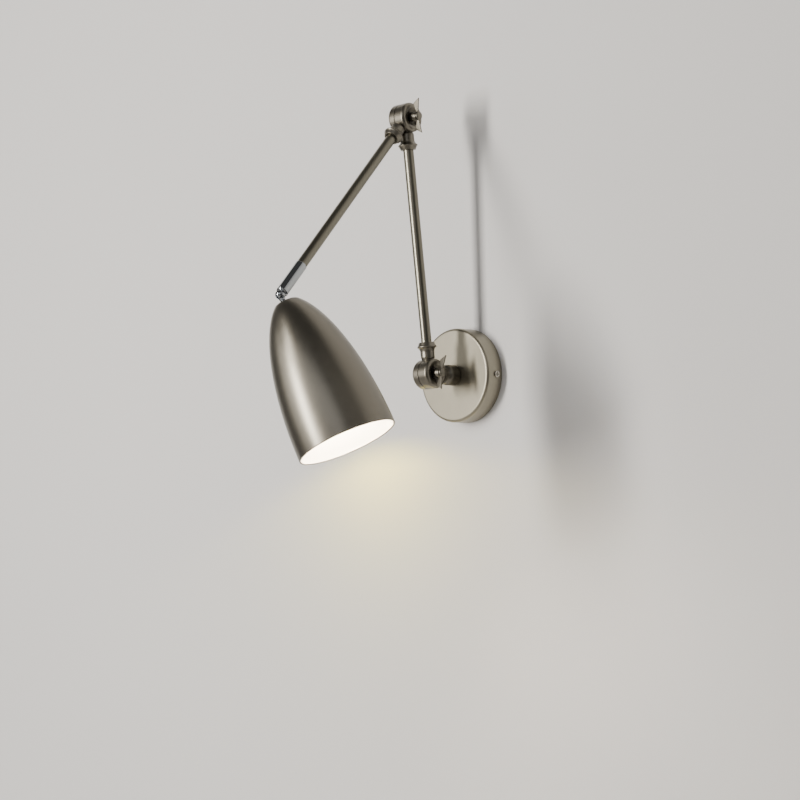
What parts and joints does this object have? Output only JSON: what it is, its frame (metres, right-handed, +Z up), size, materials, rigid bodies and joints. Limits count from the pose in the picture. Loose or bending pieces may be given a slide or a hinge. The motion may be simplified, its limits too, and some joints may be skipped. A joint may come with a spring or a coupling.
{
  "type": "articulating wall lamp",
  "caption": "Wall lamp with a round wall plate, a turning stub, tubular arms joined by clamped knuckle hinges with wing nuts, and a bullet shade on a chrome swivel that turns and tilts.",
  "frame": {"origin": "centre of the wall plate's back edge, in the plane of the wall", "axes": "+Z up the wall, the lamp stands off the wall along -Y, +X to the right as seen from the room"},
  "size_m": [0.1723, 0.3043, 0.3891],
  "materials": {
    "satin_nickel_sheet": "fine satin nickel",
    "satin_nickel_casting": "cast and satin nickel plated",
    "polished_chrome": "polished chrome",
    "zinc_plated_steel": "zinc plated",
    "brass": "turned brass",
    "fibre_disc": "black vulcanised fibre",
    "terminal_plastic": "moulded white polyamide",
    "lampholder_plastic": "moulded white thermoset",
    "bulb_housing": "white moulded",
    "opal_globe": "opal diffuser"
  },
  "bodies": {
    "wall_base": {"wall_plate": "satin_nickel_sheet", "wall_bracket": "zinc_plated_steel", "plate_side_screws": "satin_nickel_casting", "earth_screw": "brass", "earth_washer": "brass", "terminal_block": "terminal_plastic", "terminal_screws": "zinc_plated_steel"},
    "stub": {"stub_knuckle": "satin_nickel_casting", "stub_nipple": "zinc_plated_steel", "stub_slip_washer": "fibre_disc", "stub_spring_washer": "zinc_plated_steel", "stub_nut": "zinc_plated_steel", "lower_pivot_bolt": "satin_nickel_casting", "lower_friction_disc": "fibre_disc", "lower_flat_washer": "zinc_plated_steel", "lower_spring_washer": "zinc_plated_steel"},
    "lower_wing": {"lower_wing_nut": "satin_nickel_casting"},
    "lower_arm": {"lower_arm_knuckle": "satin_nickel_casting", "lower_arm_tube": "satin_nickel_sheet", "elbow_lower_knuckle": "satin_nickel_casting"},
    "upper_arm": {"elbow_upper_knuckle": "satin_nickel_casting", "upper_arm_tube": "satin_nickel_sheet", "chrome_sleeve": "polished_chrome", "elbow_pivot_bolt": "satin_nickel_casting", "elbow_friction_disc": "fibre_disc", "elbow_flat_washer": "zinc_plated_steel", "elbow_spring_washer": "zinc_plated_steel"},
    "elbow_wing": {"elbow_wing_nut": "satin_nickel_casting"},
    "head_swivel": {"swivel_fork": "polished_chrome", "swivel_nut": "zinc_plated_steel", "swivel_pin": "polished_chrome"},
    "head": {"head_stem": "polished_chrome", "shade": "satin_nickel_sheet", "shade_washer": "zinc_plated_steel", "shade_nut": "zinc_plated_steel", "lampholder_cap": "lampholder_plastic", "lampholder_body": "lampholder_plastic", "lampholder_shell": "brass", "lampholder_contact": "brass", "bulb_cap": "zinc_plated_steel", "bulb_body": "bulb_housing", "bulb_globe": "opal_globe"}
  },
  "joints": [
    {"name": "stub_swivel", "type": "hinge", "parent": "wall_base", "child": "stub", "pos_m": [0, 0, 0], "axis": [0, -1, 0], "range_deg": [-170, 170]},
    {"name": "lower_hinge", "type": "hinge", "parent": "stub", "child": "lower_arm", "pos_m": [0, -0.0583, 0], "axis": [0.9981, 0, 0.061], "range_deg": [-11, 183]},
    {"name": "lower_wing_turn", "type": "hinge", "parent": "stub", "child": "lower_wing", "pos_m": [0, -0.0583, 0], "axis": [0.9981, 0, 0.061], "range_deg": [0, 360]},
    {"name": "elbow_hinge", "type": "hinge", "parent": "lower_arm", "child": "upper_arm", "pos_m": [-0.01654, -0.07772, 0.2704], "axis": [-0.9962, -0.0574, -0.0651], "range_deg": [-1.5, 264]},
    {"name": "elbow_wing_turn", "type": "hinge", "parent": "upper_arm", "child": "elbow_wing", "pos_m": [-0.01654, -0.07772, 0.2704], "axis": [0.9962, 0.0574, 0.0651], "range_deg": [0, 360]},
    {"name": "head_turn", "type": "hinge", "parent": "upper_arm", "child": "head_swivel", "pos_m": [0.00795, -0.27544, 0.06998], "axis": [0.0866, -0.6997, -0.7092], "range_deg": [-175, 175]},
    {"name": "head_tilt", "type": "hinge", "parent": "head_swivel", "child": "head", "pos_m": [0.00795, -0.27544, 0.06998], "axis": [0.9001, -0.2501, 0.3567], "range_deg": [-146, 33]}
  ]
}
